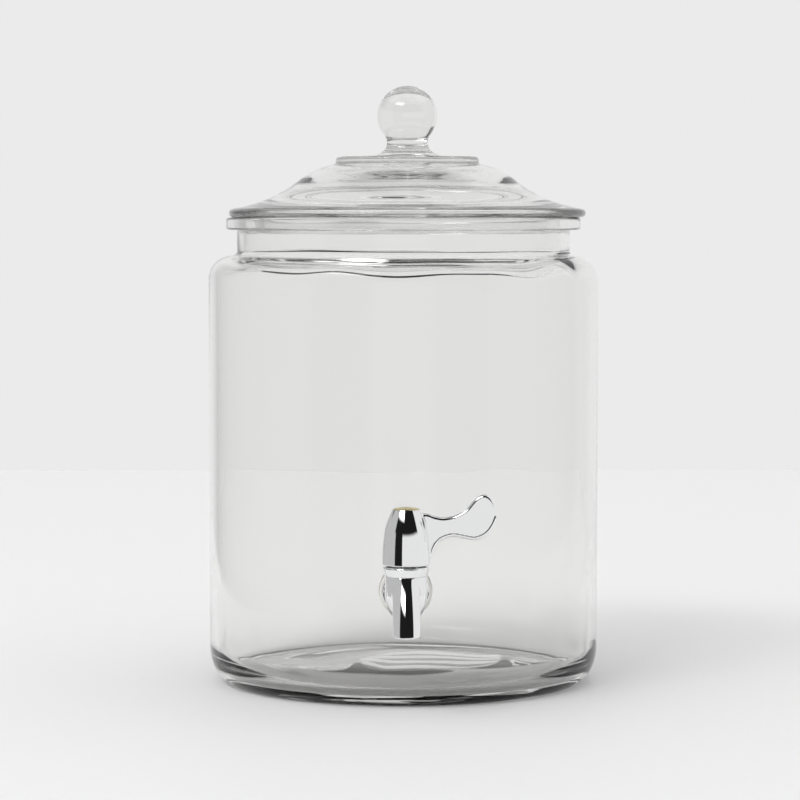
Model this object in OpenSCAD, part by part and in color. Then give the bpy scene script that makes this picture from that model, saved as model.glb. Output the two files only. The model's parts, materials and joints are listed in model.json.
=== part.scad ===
// Glass countertop dispenser jar with a loose glass lid and a quarter-turn lever tap.
// Millimetres, +Z up. The origin is the centre of the jar's foot, on the surface it stands on.
// The tap is at the front, -Y, and its lever points to +X when the tap is shut.

/* [Jar] */
// Radius of the jar's straight wall, outside
body_r = 110; // [105:1:115]
// Height of the top of the jar's rim
rim_top_z = 262; // [250:1:280]
// Thickness of the jar's side wall
wall_t = 5; // [4:0.5:6]
// Thickness of the jar's floor above the foot
floor_t = 10; // [8:0.5:12]

/* [Lid] */
// Height of the centre of the ball knob above the jar's rim
knob_up = 57; // [54:1:62]
// Radius of the ball knob
knob_r = 17; // [15:0.5:18]
// Thickness of the lid's glass
lid_t = 4.5; // [4:0.5:5]
// How far the loose lid has slid towards +X, within its play in the neck
lid_slip = 2.2; // [0:0.1:2.4]

/* [Tap] */
// Height of the tap's hole above the surface that the jar stands on
tap_z = 63.5; // [60:0.5:66]
// Distance from the jar's wall to the tap's upright axis
tap_reach = 20; // [19:0.5:22]
// Radius of the barrel that holds the valve plug
barrel_r = 11.2; // [11:0.1:11.5]
// Radius of the lever's hub at its foot
hub_r = 13; // [12.8:0.1:13.4]
// Thickness of the lever's flat paddle
lever_t = 5; // [4:0.5:6]
// Radius of the spout's outlet
outlet_r = 5; // [4.5:0.1:5.2]

/* [Hidden] */
$fn = 96;

// Colours
clear_glass = [0.86, 0.88, 0.87, 0.35];
chrome = [0.80, 0.81, 0.83];
brass = [0.83, 0.68, 0.34];
silicone = [0.88, 0.86, 0.80];
white_plastic = [0.92, 0.92, 0.90];
black_rubber = [0.08, 0.08, 0.08];
steel = [0.66, 0.66, 0.68];

clearance = 0.05;                     // round parts that slide or turn in one another
fine_fn = 360;                        // facets of the large cylinders that shape the gaskets

// Jar, from the foot up
foot_r = body_r - 12;                 // outer edge of the ring that the jar stands on
foot_curve_z = 20;                    // height at which the wall is straight
punt_r = body_r - 32;                 // edge of the hollow under the floor
punt_h = 3;                           // how far that hollow rises at its middle
heel_r = 12;                          // inside corner between floor and wall
shoulder_r = 13.5;                    // rounding of the shoulder
shoulder_z = rim_top_z - 35;          // height at which the shoulder starts
shoulder_top = shoulder_z + shoulder_r;
inner_r = body_r - wall_t;
neck_r = body_r - 16;
neck_in_r = neck_r - wall_t;
neck_z = shoulder_top + 2;            // height at which the neck is straight
rim_r = body_r - 10;
rim_h = 7;
rim_edge = 1.3;                       // rounding of the rim's edges

// Lid, from the jar's rim up
lid_r = body_r - 9.2;                 // outer radius of the bead round the lid's edge
bead_r = 2.4;                         // radius of that bead
skirt_r = neck_in_r - 3;              // ring under the lid that drops into the neck
skirt_in_r = skirt_r - 5;
skirt_h = 8;
boss_r = lid_r - 60.3;                // raised disc under the knob
boss_top = 34;
boss_edge = 1.8;
knob_neck_r = 11.6;

// Tap, upright axis through [0, -tap_out]
tap_out = body_r + tap_reach;
port_r = 4;                           // waterway through the shank and the plug
chamber_r = 8;                        // bore that the plug turns in
chamber_z = tap_z - 7;
barrel_top = tap_z + 11;              // where the bonnet ring sits
barrel_low = tap_z - 14;              // lowest point of the barrel's rounded foot
barrel_neck_r = 10.2;                 // the bonnet ring fits over this
barrel_neck_h = 2.8;
seat_depth = 2;                       // pocket for the inlet seal
seal_r = port_r + 2;

// Spout, which grows out of the barrel's front below the bonnet ring and leans forward all
// the way down, cut level at its tip
spout_r = 7.3;
spout_z = tap_z - 19.2;               // the tip
spout_out = 18.2;                     // from the barrel's axis to the tube's at the tip
spout_lean = 17;                      // at the tip; the bend leans it further
spout_straight = 3;                   // length of the straight part above the tip
spout_bend_r = 78;
spout_bend = 22;                      // angle of the bend, which ends inside the barrel
outlet_out = spout_out - 1.2;         // from the barrel's axis to the outlet bore's
outlet_len = 8;
fall_r = 3.4;                         // slanting bore between chamber and outlet
fall_lean = 55;
fall_out = spout_out - 2;
fall_z = tap_z - 11.1;
fall_len = 12;

// Tap's fixing through the jar's wall
hole_r = 8.6;
shank_root_r = 7.4;
thread_r = 7.9;
thread_pitch = 2;
shank_len = 26;                       // inward from the outside of the wall
thread_len = 19;
nut_bore_r = thread_r + clearance;
flange_r = 12.6;
flange_t = 2.5;
gasket_r = 14.1;
gasket_bore_r = thread_r + 2 * clearance;
outer_gasket_t = 2.2;                 // thinnest, at the middle
inner_gasket_t = 3.6;                 // thickest, at the middle
washer_r = 13;
washer_t = 1.6;
nut_corner_r = 13;
nut_h = 7;
nut_face_r = 11.9;                    // round bearing face of the nut
nut_face_h = 1.5;
flange_y = body_r + outer_gasket_t;   // distances from the jar's axis
inner_gasket_y = inner_r - inner_gasket_t;
nut_y = inner_gasket_y - washer_t;

// Bonnet ring, plug and stem
bonnet_r = 12.1;
bonnet_top = barrel_top + 5.1;
bonnet_edge = 0.5;
stem_r = 4.5;
plug_z = chamber_z + 2;
plug_top = barrel_top + 1.7;
washer_z = barrel_top + barrel_neck_h - 1;
stem_washer_t = 1;
stem_ring_r = 0.68;                   // thickness of the stem's o-ring, as a radius
stem_seat_r = stem_r + 2 * stem_ring_r + 2 * clearance;
stem_seat_top = washer_z + stem_washer_t + 2 * stem_ring_r + clearance;
plug_ring_r = 0.78;                   // the same for the plug's o-ring
plug_ring_z = tap_z + 8.5;
drive_w = 6;                          // square end of the stem
drive_z = barrel_top + 9.5;
drive_top = barrel_top + 21.5;
stop_in_r = 7.4;                      // quarter-turn stops
stop_out_r = 9.6;
stop_half = 10;                       // half of a stop's angle
stop_play = 1;

// Lever handle: a bullet-shaped hub with a flat paddle on one side
hub_z = bonnet_top + 0.8;
hub_top = hub_z + 29.4;
hub_top_r = 8.4;
hub_bore_r = hub_r - 2;
socket_r = 6;                         // column inside the hub, with the square socket
hub_roof = drive_top + 0.2;           // underside of the hub's solid top
screw_r = 1.5;
screw_len = 13;
head_r = 3;
head_h = 2.2;
head_z = hub_roof + 2.8;
recess_r = 6.9;                       // recess for the cap disc
recess_h = 1.7;

// Points of an arc about [x, y], with radii rx and ry, from angle a to angle b
function arc(x, y, rx, ry, a, b, n = 8) =
    [for (i = [0:n]) let (t = a + (b - a) * i / n) [x + rx * cos(t), y + ry * sin(t)]];

// Points of a cubic Bezier curve
function bezier(p, q, r, s, n = 8) =
    [for (i = [0:n]) let (t = i / n, u = 1 - t)
        u * u * u * p + 3 * u * u * t * q + 3 * u * t * t * r + t * t * t * s];

// Points of a smooth open curve through the points p
function through(p, n = 3) =
    [for (k = [0:len(p) - 2], i = [0:n - 1])
        let (a = p[max(k - 1, 0)], b = p[k], c = p[k + 1], d = p[min(k + 2, len(p) - 1)], t = i / n)
        0.5 * (2 * b + (c - a) * t + (2 * a - 5 * b + 4 * c - d) * t * t
               + (3 * b - 3 * c + d - a) * t * t * t)];

// Section of the jar: up the outside from the punt, over the rim and down the inside
function jar_section() = concat(
    [[0, punt_h], [punt_r - 18, punt_h * 0.75], [punt_r, 0]],
    arc(foot_r, foot_curve_z, body_r - foot_r, foot_curve_z, -90, 0, 9),
    arc(body_r - shoulder_r, shoulder_z, shoulder_r, shoulder_r, 0, 90),
    [[neck_r + 1.4, shoulder_top + 0.3], [neck_r + 0.3, shoulder_top + 1], [neck_r, neck_z]],
    [[neck_r, rim_top_z - rim_h - 0.6], [neck_r + 0.8, rim_top_z - rim_h]],
    arc(rim_r - rim_edge, rim_top_z - rim_h + rim_edge, rim_edge, rim_edge, -90, 0, 3),
    arc(rim_r - rim_edge, rim_top_z - rim_edge, rim_edge, rim_edge, 0, 90, 3),
    arc(neck_in_r + rim_edge, rim_top_z - rim_edge, rim_edge, rim_edge, 90, 180, 3),
    [[neck_in_r, neck_z]],
    arc(inner_r - shoulder_r, shoulder_z - 3, shoulder_r, shoulder_r, 75, 0, 7),
    arc(inner_r - heel_r, floor_t + heel_r, heel_r, heel_r, 0, -90),
    [[inner_r - 40, floor_t + 0.6], [0, floor_t + punt_h * 0.6]]);

// Places a cylinder along Y at the tap's height, from distance a to distance b off the jar's axis
module along_y(r, a, b) {
    translate([0, -a, tap_z]) rotate([90, 0, 0]) cylinder(r = r, h = b - a);
}

// Puts its children on the tap's upright axis
module at_tap() {
    translate([0, -tap_out, 0]) children();
}

module jar() {
    color(clear_glass)
    difference() {
        rotate_extrude() polygon(jar_section());
        along_y(hole_r, inner_r - 10, body_r + 10);
    }
}

// Section of the lid above the jar's rim: bead, flare, crown, boss, knob, then the underside
function lid_section() = concat(
    arc(lid_r - bead_r, bead_r, bead_r, bead_r, -90, 60),
    bezier([lid_r - 4.3, 5.9], [lid_r - 16.5, 7.5], [lid_r - 31, 13.5], [lid_r - 39.8, 21]),
    bezier([lid_r - 41.3, 22.3], [lid_r - 46, 26], [lid_r - 52, 28], [boss_r + 2, 29.8], 6),
    [[boss_r, 30.8]],
    arc(boss_r - boss_edge, boss_top - boss_edge, boss_edge, boss_edge, 0, 90, 5),
    bezier([24, boss_top + 0.3], [15.5, boss_top + 1], [knob_neck_r + 0.6, boss_top + 3],
           [knob_neck_r, boss_top + 8], 6),
    arc(0, knob_up, knob_r, knob_r, -45, 90, 14),
    [[0, 31.5 - lid_t], [boss_r - 8, 31 - lid_t]],
    bezier([boss_r + 1, 29 - lid_t], [lid_r - 44, 25 - lid_t], [lid_r - 33, 10 - lid_t],
           [skirt_in_r, 7.5 - lid_t]),
    [[skirt_in_r, 1 - skirt_h], [skirt_in_r + 1, -skirt_h]],
    [[skirt_r - 1, -skirt_h], [skirt_r, 1 - skirt_h], [skirt_r, 0]]);

module lid() {
    color(clear_glass)
    translate([lid_slip, 0, rim_top_z]) rotate_extrude() polygon(lid_section());
}

module barrel() {
    rotate_extrude() polygon(concat(
        [[0, barrel_low]],
        arc(0, tap_z + 1, barrel_r, tap_z + 1 - barrel_low, -80, 0),
        [[barrel_r, barrel_top], [barrel_neck_r, barrel_top]],
        [[barrel_neck_r, barrel_top + barrel_neck_h], [0, barrel_top + barrel_neck_h]]));
}

module spout() {
    difference() {
        translate([0, -spout_out, spout_z]) rotate([-spout_lean, 0, 0]) {
            translate([0, 0, -spout_r]) cylinder(r = spout_r, h = spout_straight + spout_r);
            translate([0, spout_bend_r, spout_straight]) rotate([90, 0, -90])
                rotate_extrude(angle = spout_bend) translate([spout_bend_r, 0]) circle(r = spout_r);
        }
        translate([0, -spout_out, spout_z - 10]) cylinder(r = 2 * spout_r, h = 10);
        translate([0, 0, barrel_top]) cylinder(r = 3 * spout_r, h = 20);
    }
}

// One thread ridge after another, each a ring on the shank
module thread() {
    start = body_r - shank_len + 1;
    for (y = [start : thread_pitch : start + thread_len - thread_pitch])
        translate([0, -y, tap_z]) rotate([90, 0, 0]) rotate_extrude() polygon([
            [shank_root_r - 1, 0], [shank_root_r, 0], [thread_r, thread_pitch * 0.4],
            [thread_r, thread_pitch * 0.5], [shank_root_r, thread_pitch * 0.9],
            [shank_root_r - 1, thread_pitch * 0.9]]);
}

module tap_body() {
    color(chrome)
    difference() {
        union() {
            at_tap() barrel();
            at_tap() spout();
            along_y(chamber_r, flange_y + 1, tap_out - 4);
            along_y(flange_r, flange_y, flange_y + flange_t);
            along_y(shank_root_r, body_r - shank_len, flange_y + 1);
            thread();
        }
        along_y(port_r, body_r - shank_len - 1, tap_out);
        along_y(seal_r, tap_out - chamber_r - seat_depth, tap_out);
        at_tap() translate([0, 0, chamber_z]) cylinder(r = chamber_r, h = 40);
        at_tap() translate([0, -outlet_out, spout_z - 1]) cylinder(r = outlet_r, h = outlet_len + 1);
        at_tap() translate([0, -fall_out, fall_z]) rotate([-fall_lean, 0, 0])
            cylinder(r = fall_r, h = fall_len);
    }
}

module inlet_seal() {
    color(black_rubber)
    difference() {
        along_y(seal_r, tap_out - chamber_r - seat_depth, tap_out);
        along_y(port_r, tap_out - chamber_r - seat_depth - 1, tap_out + 1);
        at_tap() translate([0, 0, chamber_z - 1]) cylinder(r = chamber_r, h = 20);
    }
}

module bonnet_ring() {
    color(chrome)
    at_tap() {
        difference() {
            rotate_extrude() polygon(concat(
                [[0, barrel_top], [bonnet_r, barrel_top]],
                arc(bonnet_r - bonnet_edge, bonnet_top - bonnet_edge, bonnet_edge, bonnet_edge, 0, 90, 3),
                [[0, bonnet_top]]));
            translate([0, 0, barrel_top - 1])
                cylinder(r = barrel_neck_r + clearance, h = barrel_neck_h + 1);
            translate([0, 0, barrel_top]) cylinder(r = stem_seat_r, h = stem_seat_top - barrel_top);
            translate([0, 0, barrel_top]) cylinder(r = stem_r + 2 * clearance, h = 20);
        }
        rotate(90 - stop_half) rotate_extrude(angle = 2 * stop_half)
            translate([stop_in_r, bonnet_top - 0.5]) square([stop_out_r - stop_in_r, 2.9]);
    }
}

module o_ring(inside_r, thickness_r, z) {
    at_tap() translate([0, 0, z])
        rotate_extrude() translate([inside_r + thickness_r, 0]) circle(r = thickness_r);
}

module stem_o_ring() {
    color(black_rubber)
    o_ring(stem_r + clearance, stem_ring_r, washer_z + stem_washer_t + stem_ring_r);
}

module plug_o_ring() {
    color(black_rubber)
    o_ring(chamber_r - clearance - 2 * plug_ring_r, plug_ring_r, plug_ring_z);
}

module stem_washer() {
    color(white_plastic)
    at_tap() translate([0, 0, washer_z]) difference() {
        cylinder(r = chamber_r - 0.4, h = stem_washer_t);
        translate([0, 0, -1]) cylinder(r = stem_r + 2 * clearance, h = stem_washer_t + 2);
    }
}

// The plug's side port faces -X when shut, and the jar when the lever has turned to the front
module valve_plug() {
    groove_h = 2 * plug_ring_r + 0.4;
    groove_r = chamber_r - 2 * plug_ring_r - 2 * clearance;
    color(white_plastic)
    at_tap() difference() {
        union() {
            translate([0, 0, plug_z]) cylinder(r = chamber_r - clearance, h = plug_top - plug_z);
            translate([0, 0, plug_top - 1]) cylinder(r = stem_r, h = drive_z - plug_top + 1);
            translate([-drive_w / 2, -drive_w / 2, drive_z - 1])
                cube([drive_w, drive_w, drive_top - drive_z + 1]);
        }
        translate([0, 0, plug_z - 1]) cylinder(r = port_r + 0.2, h = tap_z - plug_z + port_r + 1);
        translate([0, 0, tap_z]) rotate([0, -90, 0]) cylinder(r = port_r, h = 20);
        translate([0, 0, head_z - screw_len + 1]) cylinder(r = screw_r, h = 40);
        difference() {
            translate([0, 0, plug_ring_z - groove_h / 2]) cylinder(r = chamber_r + 1, h = groove_h);
            translate([0, 0, plug_ring_z - groove_h]) cylinder(r = groove_r, h = 2 * groove_h);
        }
    }
}

function hub_section() = concat(
    [[0, hub_z], [hub_r - 0.3, hub_z], [hub_r, hub_z + 0.4]],
    bezier([hub_r, hub_z + 1], [hub_r - 0.2, hub_z + 12], [hub_r - 1.8, hub_z + 21],
           [hub_top_r + 0.8, hub_top - 2.2]),
    arc(hub_top_r - 0.7, hub_top - 1.5, 1.5, 1.5, 35, 90, 4),
    [[0, hub_top]]);

// Side of the paddle, from the hub over the top and back along the underside.
// The first number is the distance from the tap's axis, the second the height above its hole.
paddle = [[8, 45], [11.3, 43.8], [15.2, 42.4], [20, 41.8], [26, 43.1], [31.4, 46.1], [35.6, 51],
          [38.5, 53.2], [41.5, 53.8], [44.8, 51.6], [47, 46.3], [47.6, 41.9], [46, 37.1],
          [42.3, 32.4], [36.4, 29.8], [30.7, 30.6], [24.8, 31.6], [20.2, 30.5], [17.2, 28.5],
          [14.9, 25], [12.8, 20.5], [8, 18.5]];

module hub_hollow() {
    difference() {
        rotate_extrude() polygon([
            [0, hub_z - 1], [hub_bore_r, hub_z - 1], [hub_bore_r, hub_z + 9],
            [hub_bore_r - 1.6, hub_roof], [0, hub_roof]]);
        translate([0, 0, drive_z + 0.3]) cylinder(r = socket_r, h = 40);
    }
}

module lever_handle() {
    socket_w = drive_w + 2 * clearance;
    stop_place = 2 * stop_half + stop_play;
    color(chrome)
    at_tap() {
        difference() {
            union() {
                rotate_extrude() polygon(hub_section());
                translate([0, lever_t / 2, tap_z]) rotate([90, 0, 0])
                    linear_extrude(height = lever_t) polygon(through(paddle));
            }
            hub_hollow();
            translate([-socket_w / 2, -socket_w / 2, hub_z]) cube([socket_w, socket_w, hub_roof - hub_z]);
            translate([0, 0, hub_z]) cylinder(r = screw_r + 0.2, h = 40);
            translate([0, 0, head_z]) cylinder(r = head_r + 0.4, h = 40);
            translate([0, 0, hub_top - recess_h]) cylinder(r = recess_r, h = 10);
        }
        // ribs that meet the bonnet's stop at either end of the quarter turn
        for (a = [90 - stop_place, 180 + stop_place])
            rotate(a - stop_half) rotate_extrude(angle = 2 * stop_half)
                translate([stop_in_r, hub_z + 0.4]) square([hub_bore_r + 0.5 - stop_in_r, 4]);
    }
}

module handle_screw() {
    shaft_r = screw_r - 0.02;
    slot_l = 4;
    slot_w = 0.8;
    color(steel)
    at_tap() translate([0, 0, head_z]) difference() {
        union() {
            translate([0, 0, 2 - screw_len]) cylinder(r = shaft_r, h = screw_len - 1);
            cylinder(r = head_r, h = head_h);
        }
        for (a = [0, 90])
            rotate(a) translate([-slot_l / 2, -slot_w / 2, head_h / 2]) cube([slot_l, slot_w, head_h]);
    }
}

module cap_disc() {
    color(brass)
    at_tap() translate([0, 0, hub_top - recess_h]) rotate_extrude() polygon(concat(
        [[0, 0], [recess_r - clearance, 0]],
        arc(recess_r - clearance - 0.6, 0.6, 0.6, 0.6, 0, 90, 3),
        [[recess_r - 1.4, 0.9], [0, 0.7]]));
}

module outer_gasket() {
    color(silicone)
    difference() {
        along_y(gasket_r, body_r - 6, flange_y);
        cylinder(r = body_r, h = 2 * tap_z, $fn = fine_fn);
        along_y(gasket_bore_r, 0, 2 * body_r);
    }
}

module inner_gasket() {
    color(silicone)
    difference() {
        intersection() {
            along_y(gasket_r, inner_gasket_y, body_r);
            cylinder(r = inner_r, h = 2 * tap_z, $fn = fine_fn);
        }
        along_y(gasket_bore_r, 0, 2 * body_r);
    }
}

module backing_washer() {
    color(white_plastic)
    difference() {
        along_y(washer_r, nut_y, inner_gasket_y);
        along_y(gasket_bore_r, 0, 2 * body_r);
    }
}

module lock_nut() {
    color(white_plastic)
    difference() {
        union() {
            translate([0, nut_h - nut_y, tap_z]) rotate([90, 0, 0])
                cylinder(r = nut_corner_r, h = nut_h, $fn = 6);
            along_y(nut_face_r, nut_y - nut_face_h, nut_y);
        }
        along_y(nut_bore_r, 0, 2 * body_r);
    }
}

jar();
lid();
tap_body();
bonnet_ring();
stem_o_ring();
stem_washer();
inlet_seal();
valve_plug();
plug_o_ring();
lever_handle();
handle_screw();
cap_disc();
outer_gasket();
inner_gasket();
backing_washer();
lock_nut();
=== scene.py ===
"""A clear glass dispenser jar with a loose glass lid and a chromed quarter-turn tap."""
import json
import math
import bmesh
import bpy
import numpy as np
from mathutils import Matrix, Vector, noise


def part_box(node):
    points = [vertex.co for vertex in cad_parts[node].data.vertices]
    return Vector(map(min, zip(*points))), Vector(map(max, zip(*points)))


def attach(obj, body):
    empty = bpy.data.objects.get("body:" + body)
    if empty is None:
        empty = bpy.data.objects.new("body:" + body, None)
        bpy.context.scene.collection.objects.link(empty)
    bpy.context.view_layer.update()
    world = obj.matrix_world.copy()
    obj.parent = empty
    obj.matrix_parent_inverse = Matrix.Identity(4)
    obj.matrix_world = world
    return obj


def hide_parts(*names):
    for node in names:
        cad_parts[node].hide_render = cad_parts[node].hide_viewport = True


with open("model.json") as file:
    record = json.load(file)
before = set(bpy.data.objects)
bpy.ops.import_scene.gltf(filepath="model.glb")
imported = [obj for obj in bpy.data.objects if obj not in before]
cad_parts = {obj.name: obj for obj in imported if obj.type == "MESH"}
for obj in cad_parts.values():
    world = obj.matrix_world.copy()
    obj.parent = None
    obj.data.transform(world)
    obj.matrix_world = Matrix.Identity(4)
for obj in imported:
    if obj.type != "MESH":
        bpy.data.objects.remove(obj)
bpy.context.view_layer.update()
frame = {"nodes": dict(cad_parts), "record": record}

# ---------------------------------------------------------------- sizes, in millimetres
MM = 0.001


def node_box(node):
    """Lowest and highest corners of a CAD node, in millimetres."""
    low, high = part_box(node)
    return low / MM, high / MM


JAR_LOW, JAR_HIGH = node_box("jar")
LID_LOW, LID_HIGH = node_box("lid")
HUB_LOW = node_box("lever_handle")[0]
BONNET_LOW, BONNET_HIGH = node_box("bonnet_ring")
FLANGE_LOW, FLANGE_HIGH = node_box("outer_gasket")
INNER_HIGH = node_box("inner_gasket")[1]

BODY_R = JAR_HIGH.y                     # outside of the jar's straight wall
RIM_TOP = JAR_HIGH.z
WALL = 5.0
FLOOR_T = 10.0                          # height of the floor's upper face in the CAD
LID_X = (LID_LOW.x + LID_HIGH.x) / 2    # the loose lid has slipped a little to one side
LID_R = LID_HIGH.x - LID_X
KNOB_R = 17.0
KNOB_UP = LID_HIGH.z - RIM_TOP - KNOB_R
TAP_Y = (BONNET_LOW.y + BONNET_HIGH.y) / 2
TAP_Z = (FLANGE_LOW.z + FLANGE_HIGH.z) / 2
TAP_AT = (0.0, TAP_Y, TAP_Z)            # where the tap's upright axis crosses the hole's
BARREL_TOP = 11.0                       # heights above that point
BARREL_R = 11.2
HOLE_R = 8.6
HUB_TALL = 29.4                         # without the paddle, which stands higher
HUB_FOOT = HUB_LOW.z - TAP_Z
HUB_TOP = HUB_FOOT + HUB_TALL


# ---------------------------------------------------------------- outlines, as (radius, height)
def arc(x, y, radius, start, end, steps, tall=None):
    """Points of an arc about (x, y) from start to end degrees; tall is its upright radius."""
    tall = radius if tall is None else tall
    turns = [math.radians(start + (end - start) * i / steps) for i in range(steps + 1)]
    return [(x + radius * math.cos(t), y + tall * math.sin(t)) for t in turns]


def bezier(p, q, r, s, steps):
    """Points of a cubic Bezier curve."""
    points = []
    for i in range(steps + 1):
        t = i / steps
        u = 1 - t
        weights = (u * u * u, 3 * u * u * t, 3 * u * t * t, t * t * t)
        points.append(tuple(sum(w * c[k] for w, c in zip(weights, (p, q, r, s))) for k in (0, 1)))
    return points


def line(p, q, steps):
    """Points of a straight line, without its first."""
    return [(p[0] + (q[0] - p[0]) * i / steps, p[1] + (q[1] - p[1]) * i / steps)
            for i in range(1, steps + 1)]


def smooth_step(low, high, value):
    t = np.clip((value - low) / (high - low), 0.0, 1.0)
    return t * t * (3 - 2 * t)


def bump_at(centre, width, value):
    """1 at centre, falling smoothly to 0 at width away."""
    return math.exp(-((value - centre) / width) ** 2)


def jar_outline():
    """Outside from the punt to the rim, then the inside back down to the middle of the floor."""
    foot_r, foot_tall = BODY_R - 12, 20
    punt_r, punt_h = BODY_R - 32, 3
    shoulder_r = 13.5
    shoulder_z = RIM_TOP - 35
    neck_r = BODY_R - 16
    neck_in = neck_r - WALL
    rim_r, edge = BODY_R - 10, 1.5
    inner_r, heel, heel_tall = BODY_R - WALL, 14, 15
    floor_edge, floor_top = 6.5, FLOOR_T + punt_h * 0.6
    out = [(0.0, punt_h)]
    out += line(out[-1], (punt_r - 24, punt_h * 0.8), 18)
    out += bezier(out[-1], (punt_r - 12, punt_h * 0.7), (punt_r - 7, 0.05), (punt_r, 0.05), 12)[1:]
    out += line(out[-1], (foot_r, 0.0), 6)
    out += arc(foot_r, foot_tall, BODY_R - foot_r, -90, 0, 24, foot_tall)[1:]
    out += line(out[-1], (BODY_R, shoulder_z), 46)
    out += arc(BODY_R - shoulder_r, shoulder_z, shoulder_r, 0, 86, 22)[1:]
    out += bezier(out[-1], (neck_r + 1.2, shoulder_z + shoulder_r + 0.2),
                  (neck_r, shoulder_z + shoulder_r + 1), (neck_r, shoulder_z + shoulder_r + 3.2), 8)[1:]
    out += line(out[-1], (neck_r, RIM_TOP - 8.4), 6)
    out += bezier(out[-1], (neck_r, RIM_TOP - 7.2), (neck_r + 0.4, RIM_TOP - 7),
                  (neck_r + 1.6, RIM_TOP - 7), 5)[1:]
    out += arc(rim_r - edge, RIM_TOP - 7 + edge, edge, -90, 0, 7)
    out += arc(rim_r - edge, RIM_TOP - edge, edge, 0, 90, 7)
    out += arc(neck_in + edge, RIM_TOP - edge, edge, 90, 180, 7)
    out += line(out[-1], (neck_in, shoulder_z + shoulder_r + 3), 8)
    inside = arc(inner_r - shoulder_r + WALL, shoulder_z, shoulder_r - WALL, 78, 0, 20)
    out += bezier(out[-1], (neck_in, shoulder_z + 9.6), (neck_in + 3.2, shoulder_z + 9), inside[0], 12)[1:]
    out += inside[1:]
    out += line(out[-1], (inner_r, shoulder_z - 12), 6)
    out += line(out[-1], (inner_r, floor_edge + heel_tall), 44)
    out += arc(inner_r - heel, floor_edge + heel_tall, heel, 0, -88, 24, heel_tall)[1:]
    out += bezier(out[-1], (inner_r - 50, floor_edge), (38, floor_top), (0.0, floor_top), 48)[1:]
    return [(r, max(z, 0.0)) for r, z in out]


def lid_outline():
    """Bead, flare, crown, boss and knob, then the underside back out to the locating skirt."""
    bead, boss_r, boss_top = 2.4, LID_R - 60.3, 34.0
    neck_r = 11.6
    skirt_r = BODY_R - 24
    skirt_in = skirt_r - 5
    glass = 4.5
    out = arc(LID_R - bead, bead, bead, -90, 55, 14)
    out += bezier((LID_R - 2.6, 5.0), (LID_R - 16.5, 7.2), (LID_R - 31, 13.5), (LID_R - 39.8, 21), 30)
    out += bezier((LID_R - 40.6, 21.7), (LID_R - 46, 26.3), (LID_R - 52, 28), (boss_r + 2, 29.6), 16)
    out += bezier((boss_r + 1.2, 29.8), (boss_r, 30), (boss_r, 30.6), (boss_r, 31.4), 4)
    out += arc(boss_r - 1.9, boss_top - 1.9, 1.9, 0, 90, 8)
    out += line(out[-1], (25, boss_top + 0.2), 8)
    out += bezier(out[-1], (15.5, boss_top + 1), (neck_r + 0.6, boss_top + 3), (neck_r, boss_top + 7.4), 14)[1:]
    start = -math.degrees(math.acos(neck_r / KNOB_R))
    out += bezier(out[-1], (neck_r - 0.2, boss_top + 9), (neck_r, boss_top + 10.5),
                  arc(0, KNOB_UP, KNOB_R, start + 5, 0, 1)[0], 5)[1:]
    out += arc(0, KNOB_UP, KNOB_R, start + 8, 90, 34)
    out[-1] = (0.0, KNOB_UP + KNOB_R)
    under = [(0.0, 31.5 - glass)]
    under += line(under[-1], (boss_r - 8, 31 - glass), 14)
    under += bezier((boss_r + 1, 29 - glass), (LID_R - 44, 25 - glass), (LID_R - 33, 10 - glass),
                    (skirt_in, 7.5 - glass), 30)
    under += line(under[-1], (skirt_in, -6.6), 6)
    under += arc(skirt_in + 1.4, -6.6, 1.4, 180, 270, 5)
    under += arc(skirt_r - 1.4, -6.6, 1.4, -90, 0, 5)
    under += line(under[-1], (skirt_r, -0.6), 4)
    under += bezier((skirt_r, -0.3), (skirt_r, 0), (skirt_r + 0.2, 0), (skirt_r + 0.6, 0), 3)
    return [(r, z + RIM_TOP) for r, z in out + under]


# ---------------------------------------------------------------- mesh helpers
def new_object(name, mesh, smooth=True):
    piece = bpy.data.objects.new(name, mesh)
    bpy.context.scene.collection.objects.link(piece)
    if smooth:
        mesh.polygons.foreach_set("use_smooth", [True] * len(mesh.polygons))
    mesh.update()
    return piece


def lathe(name, outline, segments, centre=(0.0, 0.0), wobble=None):
    """Turns an outline into a closed skin about an upright axis; wobble moves each point a little."""
    bm = bmesh.new()
    rings = []
    for k, (r, z) in enumerate(outline):
        count = 1 if r < 1e-6 else segments
        ring = []
        for i in range(count):
            turn = 2 * math.pi * i / segments
            dr, dz = wobble(k, r, z, turn) if wobble else (0.0, 0.0)
            spread = 0.0 if count == 1 else r + dr
            place = Vector((centre[0] + spread * math.cos(turn), centre[1] + spread * math.sin(turn), z + dz))
            ring.append(bm.verts.new(place * MM))
        rings.append(ring)
    pairs = list(zip(rings, rings[1:]))
    if len(rings[0]) > 1:
        pairs.append((rings[-1], rings[0]))
    for low, high in pairs:
        for i in range(segments):
            j = (i + 1) % segments
            corners = [low[i % len(low)], low[j % len(low)], high[j % len(high)], high[i % len(high)]]
            unique = []
            for corner in corners:
                if corner not in unique:
                    unique.append(corner)
            if len(unique) > 2:
                bm.faces.new(unique)
    bmesh.ops.recalc_face_normals(bm, faces=bm.faces)
    mesh = bpy.data.meshes.new(name)
    bm.to_mesh(mesh)
    bm.free()
    return new_object(name, mesh)


def apply_modifiers(piece):
    """Bakes a piece's modifiers into its mesh."""
    bpy.context.view_layer.update()
    baked = bpy.data.meshes.new_from_object(piece.evaluated_get(bpy.context.evaluated_depsgraph_get()))
    piece.modifiers.clear()
    piece.data = baked
    baked.polygons.foreach_set("use_smooth", [True] * len(baked.polygons))
    baked.update()


def cut(piece, tool):
    """Takes the tool's volume out of the piece."""
    boolean = piece.modifiers.new("cut", "BOOLEAN")
    boolean.operation = "DIFFERENCE"
    boolean.solver = "EXACT"
    boolean.object = tool
    apply_modifiers(piece)
    bpy.data.objects.remove(tool)


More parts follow.
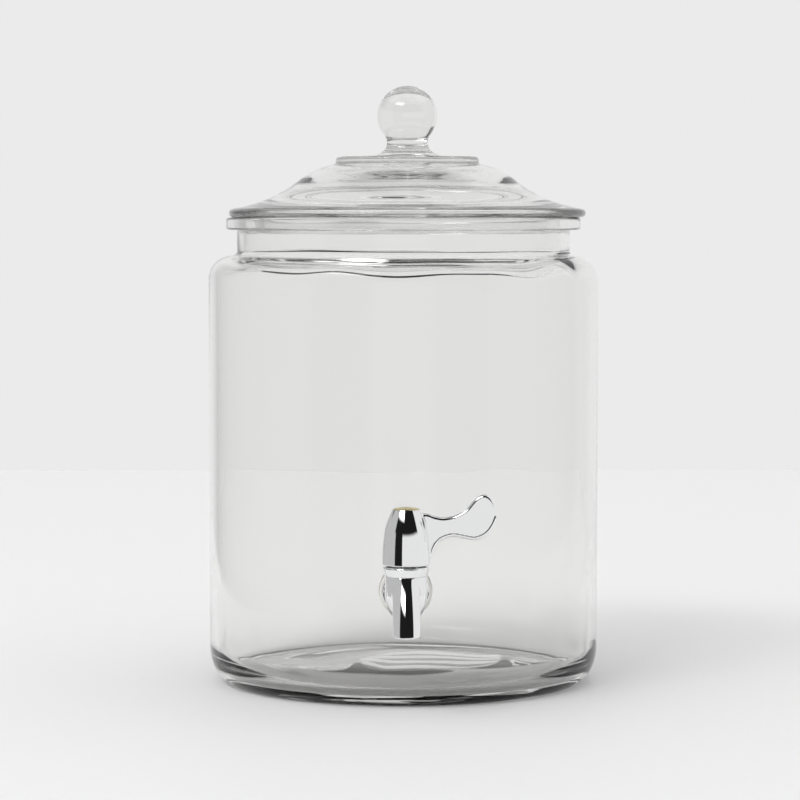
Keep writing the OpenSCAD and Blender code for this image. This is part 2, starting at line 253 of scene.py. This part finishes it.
# ---------------------------------------------------------------- solids from distance fields
def smooth_min(a, b, blend):
    """The smaller of two distances, rounded off where they are alike: two solids with a fillet."""
    gap = np.maximum(blend - np.abs(a - b), 0.0) / blend
    return np.minimum(a, b) - gap * gap * blend / 4


def smooth_max(a, b, blend):
    return -smooth_min(-a, -b, blend)


def rounded(across, along, edge):
    """Distance to a solid bounded by two other distances, with a rounded edge between them."""
    p, q = across + edge, along + edge
    return np.hypot(np.maximum(p, 0), np.maximum(q, 0)) + np.minimum(np.maximum(p, q), 0) - edge


def outline_distance(outline, x, z):
    """Distance of points from a closed outline, less than zero inside it."""
    nearest, inside = np.inf, False
    for (ax, az), (bx, bz) in zip(outline, outline[1:] + outline[:1]):
        ex, ez = bx - ax, bz - az
        share = np.clip(((x - ax) * ex + (z - az) * ez) / (ex * ex + ez * ez), 0, 1)
        nearest = np.minimum(nearest, np.hypot(x - ax - share * ex, z - az - share * ez))
        if ez:
            crosses = ((az <= z) != (bz <= z)) & (x < ax + ex * (z - az) / ez)
            inside = inside ^ crosses
    return np.where(inside, -nearest, nearest)


def field_slope(field, points, reach=0.02):
    slope = np.empty_like(points)
    for k in range(3):
        step = np.zeros(3)
        step[k] = reach
        slope[:, k] = (field(*(points + step).T) - field(*(points - step).T)) / (2 * reach)
    return slope


def skin_of_field(name, field, low, high, step, centre):
    """Smooth closed skin round the points where field(x, y, z) is below zero."""
    axes = [np.arange(a, b + step, step) for a, b in zip(low, high)]
    inside = field(*np.meshgrid(*axes, indexing="ij", sparse=True)) < 0
    corners = np.stack([inside[i:i - 1 or None, j:j - 1 or None, k:k - 1 or None]
                        for i in (0, 1) for j in (0, 1) for k in (0, 1)])
    mixed = corners.any(0) & ~corners.all(0)
    index = np.zeros(mixed.shape, int)
    index[mixed] = np.arange(mixed.sum())
    points = (np.argwhere(mixed) + 0.5) * step + np.array(low)
    faces = []
    for axis in range(3):
        across, up = (axis + 1) % 3, (axis + 2) % 3
        edges = np.argwhere(inside != np.roll(inside, -1, axis))
        ring = []
        for du, dv in ((-1, -1), (0, -1), (0, 0), (-1, 0)):
            cell = edges.copy()
            cell[:, across] += du
            cell[:, up] += dv
            ring.append(index[tuple(cell.T)])
        quads = np.stack(ring, 1)
        backward = ~inside[tuple(edges.T)]
        quads[backward] = quads[backward][:, ::-1]
        faces.append(quads)
    faces = np.concatenate(faces)
    starts = np.concatenate([faces, np.roll(faces, 1, 1)]).ravel()
    ends = np.concatenate([np.roll(faces, 1, 1), faces]).ravel()
    shares = np.bincount(starts, minlength=len(points))
    for relax in range(4):
        if relax:
            mean = np.stack([np.bincount(starts, points[ends, k], len(points)) for k in range(3)], 1)
            points = (points + mean / shares[:, None]) / 2
        for settle in range(4):
            slope = field_slope(field, points)
            length = np.maximum((slope * slope).sum(1), 0.05)
            points = points - slope * (field(*points.T) / length)[:, None]
    normals = field_slope(field, points)
    normals /= np.linalg.norm(normals, axis=1)[:, None]
    mesh = bpy.data.meshes.new(name)
    mesh.from_pydata(((points + np.array(centre)) * MM).tolist(), [], faces.tolist())
    piece = new_object(name, mesh)
    mesh.normals_split_custom_set_from_vertices(normals.tolist())
    return piece


# ---------------------------------------------------------------- materials
def new_material(name):
    material = bpy.data.materials.new(name)
    material.use_nodes = True
    nodes = material.node_tree.nodes
    return material, nodes, material.node_tree.links, nodes["Principled BSDF"]


def noise_bump(nodes, links, shader, scale, strength, distance, stretch=(1, 1, 1)):
    """Fine unevenness of a surface, from noise in object space."""
    place = nodes.new("ShaderNodeTexCoord")
    mapping = nodes.new("ShaderNodeMapping")
    mapping.inputs["Scale"].default_value = stretch
    texture = nodes.new("ShaderNodeTexNoise")
    texture.inputs["Scale"].default_value = scale
    texture.inputs["Detail"].default_value = 2.0
    bump = nodes.new("ShaderNodeBump")
    bump.inputs["Strength"].default_value = strength
    bump.inputs["Distance"].default_value = distance
    links.new(place.outputs["Object"], mapping.inputs["Vector"])
    links.new(mapping.outputs["Vector"], texture.inputs["Vector"])
    links.new(texture.outputs["Fac"], bump.inputs["Height"])
    links.new(bump.outputs["Normal"], shader.inputs["Normal"])
    return texture


def noise_range(nodes, links, texture, low, high, socket):
    """Spreads a noise between two values on a shader's socket."""
    spread = nodes.new("ShaderNodeMapRange")
    spread.inputs["To Min"].default_value = low
    spread.inputs["To Max"].default_value = high
    links.new(texture.outputs["Fac"], spread.inputs["Value"])
    links.new(spread.outputs["Result"], socket)


def noise_colour(nodes, links, texture, first, second, socket):
    """Blends two colours by a noise on a shader's socket."""
    blend = nodes.new("ShaderNodeMix")
    blend.data_type = "RGBA"
    blend.inputs["A"].default_value = (*first, 1)
    blend.inputs["B"].default_value = (*second, 1)
    links.new(texture.outputs["Fac"], blend.inputs["Factor"])
    links.new(blend.outputs["Result"], socket)


def glass_material(name, mirror):
    """Clear glass that darkens with depth; mirror is the strength of its reflections."""
    material, nodes, links, shader = new_material(name)
    shader.inputs["Transmission Weight"].default_value = 1.0
    shader.inputs["IOR"].default_value = 1.5
    shader.inputs["Specular Tint"].default_value = (mirror, mirror, mirror, 1)
    texture = noise_bump(nodes, links, shader, scale=26.0, strength=0.04, distance=0.0004, stretch=(1, 1, 0.35))
    noise_colour(nodes, links, texture, (0.957, 0.957, 0.951), (0.966, 0.966, 0.961), shader.inputs["Base Color"])
    noise_range(nodes, links, texture, 0.0, 0.008, shader.inputs["Roughness"])
    depth = nodes.new("ShaderNodeVolumeAbsorption")
    depth.inputs["Color"].default_value = (0.505, 0.50, 0.485, 1)
    depth.inputs["Density"].default_value = 4.0
    links.new(depth.outputs["Volume"], nodes["Material Output"].inputs["Volume"])
    return material


def chrome_material():
    material, nodes, links, shader = new_material("chrome_plate")
    shader.inputs["Metallic"].default_value = 1.0
    texture = noise_bump(nodes, links, shader, scale=420.0, strength=0.05, distance=0.0001)
    noise_colour(nodes, links, texture, (0.90, 0.905, 0.91), (0.94, 0.94, 0.945), shader.inputs["Base Color"])
    noise_range(nodes, links, texture, 0.02, 0.06, shader.inputs["Roughness"])
    return material


def brass_material():
    material, nodes, links, shader = new_material("brass_disc")
    shader.inputs["Metallic"].default_value = 1.0
    texture = noise_bump(nodes, links, shader, scale=900.0, strength=0.25, distance=0.0002, stretch=(1, 6, 1))
    noise_colour(nodes, links, texture, (0.66, 0.56, 0.25), (0.80, 0.71, 0.42), shader.inputs["Base Color"])
    noise_range(nodes, links, texture, 0.18, 0.38, shader.inputs["Roughness"])
    return material


def silicone_material():
    material, nodes, links, shader = new_material("silicone")
    shader.inputs["Transmission Weight"].default_value = 0.2
    shader.inputs["IOR"].default_value = 1.15
    texture = noise_bump(nodes, links, shader, scale=500.0, strength=0.15, distance=0.0002)
    noise_colour(nodes, links, texture, (0.95, 0.93, 0.88), (0.98, 0.96, 0.92), shader.inputs["Base Color"])
    noise_range(nodes, links, texture, 0.30, 0.45, shader.inputs["Roughness"])
    return material


def plastic_material(name, first, second, rough):
    material, nodes, links, shader = new_material(name)
    texture = noise_bump(nodes, links, shader, scale=700.0, strength=0.2, distance=0.0002)
    noise_colour(nodes, links, texture, first, second, shader.inputs["Base Color"])
    noise_range(nodes, links, texture, rough - 0.06, rough + 0.08, shader.inputs["Roughness"])
    return material


def steel_material():
    material, nodes, links, shader = new_material("steel")
    shader.inputs["Metallic"].default_value = 1.0
    texture = noise_bump(nodes, links, shader, scale=600.0, strength=0.2, distance=0.0002, stretch=(1, 1, 5))
    noise_colour(nodes, links, texture, (0.52, 0.52, 0.53), (0.68, 0.68, 0.70), shader.inputs["Base Color"])
    noise_range(nodes, links, texture, 0.25, 0.4, shader.inputs["Roughness"])
    return material


MATERIALS = {
    "clear_glass": glass_material("clear_glass", 0.25),
    "chrome_plate": chrome_material(),
    "brass_disc": brass_material(),
    "silicone": silicone_material(),
    "white_plastic": plastic_material("white_plastic", (0.78, 0.78, 0.76), (0.86, 0.86, 0.84), 0.42),
    "black_rubber": plastic_material("black_rubber", (0.012, 0.012, 0.012), (0.03, 0.03, 0.03), 0.5),
    "steel": steel_material(),
}
LID_GLASS = glass_material("lid_glass", 1.0)


def finish_piece(piece, body, slot, *nodes, material=None):
    """Gives a piece its material, its body and the CAD nodes that it stands for."""
    piece.data.materials.clear()
    piece.data.materials.append(material or MATERIALS[slot])
    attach(piece, body)
    if nodes:
        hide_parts(*nodes)


# ---------------------------------------------------------------- the glass
def ripple(x, y, z, scale, seed):
    """Smooth noise between about -1 and 1."""
    return noise.noise(Vector((x / scale + seed, y / scale, z / scale)))


def jar_wobble(first_inner):
    """Unevenness of hand-finished glass: most inside the shoulder, on the floor and at the back's foot."""
    def wobble(k, r, z, turn):
        x, y = r * math.cos(turn), r * math.sin(turn)
        if k < first_inner:
            under = 1 - smooth_step(BODY_R - 62, BODY_R - 44, r) if z < 5 else 0.0
            return 0.0, under * 0.8 * ripple(x, y, 0, 40, 3.0)
        floor = 1 - smooth_step(FLOOR_T + 2, FLOOR_T + 14, z)
        shoulder = bump_at(RIM_TOP - 29, 10, z)
        wall = 0.10 + 0.8 * shoulder
        dr = wall * ripple(x, y, z * 0.6, 40, 11.0) * (1 - floor)
        middle = 1 - smooth_step(BODY_R - 45, BODY_R - 20, r)
        dz = floor * middle * (2.3 * ripple(x, y, 0, 50, 5.0) + 0.25 * ripple(x, y, 0, 24, 8.0))
        far_side = smooth_step(-55, 5, y)
        dr += 1.1 * far_side * bump_at(FLOOR_T + 5, 8, z) * ripple(x, y, 0, 26, 29.0)
        dz += 1.7 * shoulder * ripple(x, y, 0, 42, 17.0)
        return dr, dz
    return wobble


def tap_hole_cutter():
    """A bar as wide as the tap's hole, through the front wall."""
    long = 30.0
    bm = bmesh.new()
    bmesh.ops.create_cone(bm, cap_ends=True, segments=64, radius1=HOLE_R * MM, radius2=HOLE_R * MM, depth=long * MM,
                          matrix=Matrix.Translation((0, -BODY_R * MM, TAP_Z * MM))
                          @ Matrix.Rotation(math.pi / 2, 4, "X"))
    mesh = bpy.data.meshes.new("hole_cutter")
    bm.to_mesh(mesh)
    bm.free()
    return new_object("hole_cutter", mesh, smooth=False)


def build_jar():
    outline = jar_outline()
    rim = max(range(len(outline)), key=lambda k: outline[k][1])
    rim_points = 8                      # the rim's rounded inner edge stays even
    jar = lathe("jar_glass", outline, 256, wobble=jar_wobble(rim + rim_points))
    cut(jar, tap_hole_cutter())
    finish_piece(jar, "jar", "clear_glass", "jar")


def lid_wobble(k, r, z, turn):
    """Slight unevenness of the dome, different on its two faces."""
    outside_points = 130
    x, y = r * math.cos(turn), r * math.sin(turn)
    dome = smooth_step(LID_R - 12, LID_R - 26, r) * smooth_step(20, 34, r)
    return 0.0, 0.14 * dome * ripple(x, y, z, 34, 23.0 if k > outside_points else 29.0)


def build_lid():
    lid = lathe("lid_glass", lid_outline(), 224, centre=(LID_X, 0.0), wobble=lid_wobble)
    finish_piece(lid, "lid", "clear_glass", "lid", material=LID_GLASS)


# ---------------------------------------------------------------- the tap
def tap_body_field(x, y, z):
    """Barrel with a rounded foot, spout, neck and flange, about the point where the tap's axes cross."""
    out = -y
    foot_tall, foot_z = 15.0, 1.0
    low = np.minimum(z - foot_z, 0.0)
    around = np.hypot(x, y)
    size = np.maximum(np.hypot(around / BARREL_R, low / foot_tall), 1e-3)
    slope = np.maximum(np.hypot(around / BARREL_R ** 2, low / foot_tall ** 2), 1e-6)
    barrel = size * (size - 1) / slope
    spout_r, bend_r, lean = 7.3, 78.0, math.radians(17)
    tip, tip_out, straight = -19.2, 18.2, 3.0
    start_out = tip_out - straight * math.sin(lean)
    start_z = tip + straight * math.cos(lean)
    bend_out = start_out - bend_r * math.cos(lean)
    bend_z = start_z - bend_r * math.sin(lean)
    below = (out - start_out) * math.sin(lean) - (z - start_z) * math.cos(lean)
    aside = (out - start_out) * math.cos(lean) + (z - start_z) * math.sin(lean)
    bent = np.hypot(out - bend_out, z - bend_z) - bend_r
    spout = np.hypot(np.where(below > 0, aside, bent), x) - spout_r
    solid = smooth_min(barrel, spout, 0.8)
    under_ring = (around - BARREL_R - 0.3 - 0.8 * (BARREL_TOP - z)) / 1.28
    solid = smooth_max(solid, under_ring, 0.4)
    neck_r, neck_half, neck_mid = 8.0, 8.0, 8.0
    flange_r, flange_half, flange_mid, flange_edge = 12.6, 1.25, 16.55, 0.6
    turned = np.hypot(x, z)
    neck = np.maximum(turned - neck_r, np.abs(out + neck_mid) - neck_half)
    flange = rounded(turned - flange_r, np.abs(out + flange_mid) - flange_half, flange_edge)
    solid = smooth_min(smooth_min(solid, neck, 3.0), flange, 1.0)
    solid = np.maximum(solid, z - BARREL_TOP)
    solid = smooth_max(solid, tip - z, 1.0)
    bore_r, bore_tall, bore_back = 5.0, 8.0, 1.2
    bore = np.maximum(np.hypot(x, out - tip_out + bore_back) - bore_r, z - tip - bore_tall)
    return smooth_max(solid, -bore, 0.5)


def build_shank():
    """Threaded shank through the wall, with the mouth of the water way in its end."""
    root, crest, pitch = 7.4, 7.9, 2.0
    end, start, thread_end, inlet = 84.0, 113.0, 104.0, 4.0
    bm = bmesh.new()
    segments = 96
    outline = [(inlet, end + 12), (inlet, end + 0.4), (inlet + 0.4, end), (root - 0.6, end), (root, end + 0.6)]
    rows = [(r, y, 0.0) for r, y in outline]
    count = int((thread_end - end - 1) / (pitch / 8))
    for i in range(count + 1):
        y = end + 1 + i * pitch / 8
        rows.append((root, y, min(i, count - i, 8) / 8))
    rows += [(root, thread_end + 0.5, 0.0), (root, start, 0.0)]
    rings = []
    for r, y, share in rows:
        ring = []
        for i in range(segments):
            turn = 2 * math.pi * i / segments
            phase = (y / pitch + i / segments) % 1.0
            ridge = share * (crest - root) * max(0.0, 1 - abs(phase - 0.5) * 2.6)
            ring.append(bm.verts.new(Vector(((r + ridge) * math.cos(turn), -y,
                                             TAP_Z + (r + ridge) * math.sin(turn))) * MM))
        rings.append(ring)
    for near, far in zip(rings, rings[1:]):
        for i in range(segments):
            j = (i + 1) % segments
            bm.faces.new((near[i], near[j], far[j], far[i]))
    bm.faces.new(rings[0])
    bm.faces.new(rings[-1])
    bmesh.ops.recalc_face_normals(bm, faces=bm.faces)
    mesh = bpy.data.meshes.new("tap_shank")
    bm.to_mesh(mesh)
    bm.free()
    return new_object("tap_shank", mesh)


# Side of the paddle, from the hub over the top and back along the underside:
# distance from the tap's upright axis, height above its hole
PADDLE = [(6, 44), (11.3, 43.8), (15.2, 42.4), (20, 41.8), (26, 43.1), (31.4, 46.1), (35.6, 51),
          (38.5, 53.2), (41.5, 53.8), (44.8, 51.6), (47, 46.3), (47.6, 41.9), (46, 37.1),
          (42.3, 32.4), (36.4, 29.8), (30.7, 30.6), (24.8, 31.6), (20.2, 30.5), (17.2, 28.5),
          (14.9, 25), (12.8, 20.5), (6, 18.5)]


def through(points, steps):
    """Points of a smooth curve through the given ones."""
    ends = [points[0]] + points + [points[-1]]
    curve = []
    for a, b, c, d in zip(ends, ends[1:], ends[2:], ends[3:]):
        for i in range(steps):
            t = i / steps
            curve.append(tuple(0.5 * (2 * q + (r - p) * t + (2 * p - 5 * q + 4 * r - s) * t * t
                                      + (3 * q - 3 * r + s - p) * t * t * t)
                               for p, q, r, s in zip(a, b, c, d)))
    return curve + [points[-1]]


def hub_profile():
    """Radius of the bullet-shaped hub at heights above the tap's hole."""
    lower = bezier((12.8, HUB_FOOT), (12.75, HUB_FOOT + 7), (12.2, HUB_FOOT + 14), (11.27, HUB_FOOT + 19), 100)
    upper = bezier(lower[-1], (10.45, HUB_TOP - 7.4), (8.9, HUB_TOP - 3.4), (7.15, HUB_TOP), 100)
    return np.array(lower + upper[1:])


def build_lever():
    profile, outline = hub_profile(), through(PADDLE, 6)
    thick, edge = 5.0, 1.7
    hollow_r, hollow_top = 11.0, HUB_FOOT + 7
    recess_r, recess_h = 6.9, 1.7

    def field(x, y, z):
        radius = np.interp(z, profile[:, 1], profile[:, 0])
        slope = np.interp(z, profile[:, 1], np.gradient(profile[:, 0], profile[:, 1]))
        around = np.hypot(x, y)
        hub = (around - radius) / np.sqrt(1 + slope * slope)
        hub = smooth_max(hub, z - HUB_TOP, 0.4)
        paddle = rounded(outline_distance(outline, x, z), np.abs(y) - thick / 2, edge)
        solid = smooth_min(hub, paddle, 1.2)
        solid = smooth_max(solid, HUB_FOOT - z, 0.5)
        solid = np.maximum(solid, -np.maximum(around - hollow_r, z - hollow_top))
        return smooth_max(solid, -np.maximum(around - recess_r, HUB_TOP - recess_h - z), 0.3)

    lever = skin_of_field("lever", field, (-14, -14, HUB_FOOT - 1.2), (49.3, 14, HUB_TOP + 9), 0.5, TAP_AT)
    finish_piece(lever, "lever", "chrome_plate", "lever_handle")


def build_bonnet_ring():
    """Bright ring between the barrel and the hub."""
    low, high = TAP_Z + BARREL_TOP, TAP_Z + BARREL_TOP + 5.1
    foot_r, outer, inner = 11.5, 12.5, 5.0
    outline = [(inner, low), (foot_r - 0.5, low)]
    outline += arc(foot_r - 0.4, low + 0.4, 0.4, -80, -11, 6)
    outline += line(outline[-1], (outer, high - 0.7), 8)
    outline += arc(outer - 0.6, high - 0.6, 0.6, -11, 90, 8)
    outline += line(outline[-1], (inner, high), 4)
    ring = lathe("bonnet", outline, 160, centre=(0.0, TAP_Y))
    finish_piece(ring, "jar", "chrome_plate", "bonnet_ring")


def build_cap_disc():
    """Thin gold disc, slightly domed above the hub's top."""
    top = TAP_Z + HUB_TOP - 0.02
    low, radius, edge = top - 1.6, 6.82, 0.35
    outline = [(0.0, low), (radius, low)]
    outline += line(outline[-1], (radius, top - edge), 3)
    outline += arc(radius - edge, top - edge, edge, 15, 75, 5)
    dome = 0.9
    outline += [(r, top + dome * (1 - (r / radius) ** 2))
                for r in (6.3, 5.6, 4.8, 4.0, 3.2, 2.4, 1.6, 0.8, 0.0)]
    disc = lathe("gold_disc", outline, 96, centre=(0.0, TAP_Y))
    finish_piece(disc, "lever", "brass_disc", "cap_disc")


def build_gasket(name, node, flat, wall_r):
    """Soft ring with one flat face across Y at that distance and one face shaped to the jar's wall."""
    bore, radius, segments = 8.1, 14.1, 128
    side = 1 if flat > wall_r else -1
    rows = [(bore, 0.0), (bore, 0.5), (bore, 1.0), (radius - 2.5, 1.0), (radius - 0.9, 1.0)]
    rows += [(radius - 0.9 + 0.9 * math.sin(math.radians(a)), 0.5 + 0.5 * math.cos(math.radians(a)))
             for a in range(15, 166, 15)]
    rows += [(radius - 0.9, 0.0), (radius - 2.5, 0.0)]
    bm = bmesh.new()
    rings = []
    for r, share in rows:
        ring = []
        for i in range(segments):
            turn = 2 * math.pi * i / segments
            x = r * math.cos(turn)
            wall = math.sqrt(wall_r * wall_r - x * x) + side * 0.03
            ring.append(bm.verts.new(Vector((x, -(wall + (flat - wall) * share), TAP_Z + r * math.sin(turn))) * MM))
        rings.append(ring)
    for near, far in zip(rings, rings[1:] + rings[:1]):
        for i in range(segments):
            j = (i + 1) % segments
            bm.faces.new((near[i], near[j], far[j], far[i]))
    bmesh.ops.recalc_face_normals(bm, faces=bm.faces)
    mesh = bpy.data.meshes.new(name)
    bm.to_mesh(mesh)
    bm.free()
    finish_piece(new_object(name, mesh), "jar", "silicone", node)


def build_tap():
    body = skin_of_field("tap_casting", tap_body_field, (-13.6, -26.8, -20.4), (13.6, 19, BARREL_TOP + 1.1),
                         0.45, TAP_AT)
    finish_piece(body, "jar", "chrome_plate", "tap_body")
    finish_piece(build_shank(), "jar", "chrome_plate")
    build_bonnet_ring()
    build_lever()
    build_cap_disc()
    build_gasket("outer_silicone", "outer_gasket", -FLANGE_LOW.y, BODY_R)
    build_gasket("inner_silicone", "inner_gasket", -INNER_HIGH.y, BODY_R - WALL)


# ---------------------------------------------------------------- the studio
def math_node(nodes, links, operation, a, b=None):
    """A Math node on two inputs, each a socket or a number."""
    node = nodes.new("ShaderNodeMath")
    node.operation = operation
    for slot, value in ((0, a), (1, b)):
        if value is None:
            continue
        if isinstance(value, (int, float)):
            node.inputs[slot].default_value = value
        else:
            links.new(value, node.inputs[slot])
    return node.outputs[0]


def soft_band(nodes, links, value, low, high, soft):
    """1 between low and high, with soft edges."""
    rise = nodes.new("ShaderNodeMapRange")
    rise.interpolation_type = "SMOOTHSTEP"
    fall = nodes.new("ShaderNodeMapRange")
    fall.interpolation_type = "SMOOTHSTEP"
    for node, start, end in ((rise, low - soft, low + soft), (fall, high + soft, high - soft)):
        node.inputs["From Min"].default_value = start
        node.inputs["From Max"].default_value = end
        links.new(value, node.inputs["Value"])
    return math_node(nodes, links, "MULTIPLY", rise.outputs["Result"], fall.outputs["Result"])


# Panels of the studio, seen from the object: (azimuth from, to, elevation from, to, edge, brightness).
# Azimuth 0 is towards the camera's side, +90 is the object's right; each covers those before it.
# Those in front and on the left are seen in reflections only, so that the glass stays clear all round.
FRONT_PANELS = [
    (-150, -35, -90, 90, 12, 0.52),     # grey room on the left
    (-57, -20, -25, 60, 2, 0.012),      # black flag beside the camera
    (-62, 62, 10, 72, 2, 0.012),        # dark studio above the camera
    (-20, 78, -27, -7.4, 0.4, 0.02),    # dark gap beyond the table's front edge
    (-61, -13, 35, 53, 1.5, 1.0),       # softbox, upper left: its frame, then its bright middle
    (-57, -17, 38, 50, 1.5, 8.0),
]
BACK_PANELS = [
    (-135, -112, 20, 50, 3, 0.05),      # black flag, back left
    (-180, -125, 50, 75, 4, 0.10),      # unlit top of the backdrop
    (125, 180, 50, 75, 4, 0.10),
]
BACKDROP = 0.83


def mix_levels(nodes, links, share, first, second):
    """Blend of two brightnesses, each a socket or a number."""
    blend = nodes.new("ShaderNodeMix")
    blend.data_type = "FLOAT"
    links.new(share, blend.inputs["Factor"])
    for name, value in (("A", first), ("B", second)):
        if isinstance(value, (int, float)):
            blend.inputs[name].default_value = value
        else:
            links.new(value, blend.inputs[name])
    return blend.outputs["Result"]


def add_panels(nodes, links, azimuth, elevation, shade, panels):
    """Lays panels over the brightness so far."""
    for az_low, az_high, el_low, el_high, edge, level in panels:
        across = soft_band(nodes, links, azimuth, az_low, az_high, edge)
        upward = soft_band(nodes, links, elevation, el_low, el_high, edge)
        shade = mix_levels(nodes, links, math_node(nodes, links, "MULTIPLY", across, upward), shade, level)
    return shade


def build_world():
    """Even backdrop for direct sight, scattered light and clear sight through glass, panels for the rest."""
    world = bpy.data.worlds.new("studio")
    bpy.context.scene.world = world
    world.use_nodes = True
    nodes, links = world.node_tree.nodes, world.node_tree.links
    place = nodes.new("ShaderNodeTexCoord")
    split = nodes.new("ShaderNodeSeparateXYZ")
    links.new(place.outputs["Generated"], split.inputs[0])
    forward = math_node(nodes, links, "MULTIPLY", split.outputs["Y"], -1.0)
    turn = math_node(nodes, links, "ARCTAN2", split.outputs["X"], forward)
    azimuth = math_node(nodes, links, "MULTIPLY", turn, 180 / math.pi)
    rise = math_node(nodes, links, "ARCSINE", split.outputs["Z"])
    elevation = math_node(nodes, links, "MULTIPLY", rise, 180 / math.pi)
    path = nodes.new("ShaderNodeLightPath")
    unreflected = math_node(nodes, links, "LESS_THAN", path.outputs["Glossy Depth"], 0.5)
    through_glass = math_node(nodes, links, "MULTIPLY", path.outputs["Is Transmission Ray"], unreflected)
    front = add_panels(nodes, links, azimuth, elevation, BACKDROP, FRONT_PANELS)
    shade = mix_levels(nodes, links, through_glass, front, BACKDROP)
    shade = add_panels(nodes, links, azimuth, elevation, shade, BACK_PANELS)
    scattered = math_node(nodes, links, "GREATER_THAN", path.outputs["Diffuse Depth"], 0.5)
    even = math_node(nodes, links, "MAXIMUM", path.outputs["Is Camera Ray"], scattered)
    links.new(mix_levels(nodes, links, even, shade, BACKDROP), nodes["Background"].inputs["Color"])


def build_floor():
    """A pale table top; its far edge is the faint line behind the jar."""
    half_width, front, back = 0.43, -0.355, 1.35
    mesh = bpy.data.meshes.new("floor")
    mesh.from_pydata([(-half_width, front, 0), (half_width, front, 0), (half_width, back, 0),
                      (-half_width, back, 0)], [], [(0, 1, 2, 3)])
    floor = new_object("floor", mesh, smooth=False)
    floor.location.z = JAR_LOW.z * MM - 0.0001
    material, nodes, links, shader = new_material("floor")
    texture = noise_bump(nodes, links, shader, scale=180.0, strength=0.03, distance=0.0005)
    noise_colour(nodes, links, texture, (0.89, 0.89, 0.89), (0.91, 0.91, 0.91), shader.inputs["Base Color"])
    noise_range(nodes, links, texture, 0.6, 0.7, shader.inputs["Roughness"])
    floor.data.materials.append(material)


def build_light():
    """A broad soft light at the upper left, which puts the soft shadow on the right."""
    data = bpy.data.lights.new("key", "AREA")
    data.shape = "RECTANGLE"
    data.size = data.size_y = 1.3
    data.energy = 5.5
    key = bpy.data.objects.new("key", data)
    bpy.context.scene.collection.objects.link(key)
    key.visible_glossy = False
    key.location = (-1.3, -0.9, 1.5)
    aim = Vector((0, 0, 0.1)) - key.location
    key.rotation_euler = aim.to_track_quat("-Z", "Y").to_euler()


def build_camera():
    """A long lens a little above the knob, tilted down."""
    distance, height, azimuth = 1.65, 0.2638, math.radians(-0.6)
    tilt = math.radians(3.65)
    sideways = -0.0019
    data = bpy.data.cameras.new("camera")
    data.sensor_width = 36.0
    data.lens = 131.1
    data.clip_end = 20.0
    camera = bpy.data.objects.new("camera", data)
    bpy.context.scene.collection.objects.link(camera)
    camera.location = (distance * math.sin(azimuth) + sideways * math.cos(azimuth),
                       -distance * math.cos(azimuth) + sideways * math.sin(azimuth), height)
    camera.rotation_euler = (math.pi / 2 - tilt, 0.0, azimuth)
    bpy.context.scene.camera = camera


def set_render():
    scene = bpy.context.scene
    scene.view_settings.view_transform = "Standard"
    scene.cycles.max_bounces = 20
    scene.cycles.transmission_bounces = 20
    scene.cycles.glossy_bounces = 8


build_camera()
build_world()
build_floor()
build_light()
set_render()
build_jar()
build_lid()
build_tap()
slots = {part["node"]: part["material_slot"] for part in frame["record"]["subparts"]}
for node_name, cad_piece in frame["nodes"].items():
    if node_name in ("jar", "lid"):
        continue
    cad_piece.data.materials.clear()
    cad_piece.data.materials.append(MATERIALS[slots[node_name]])
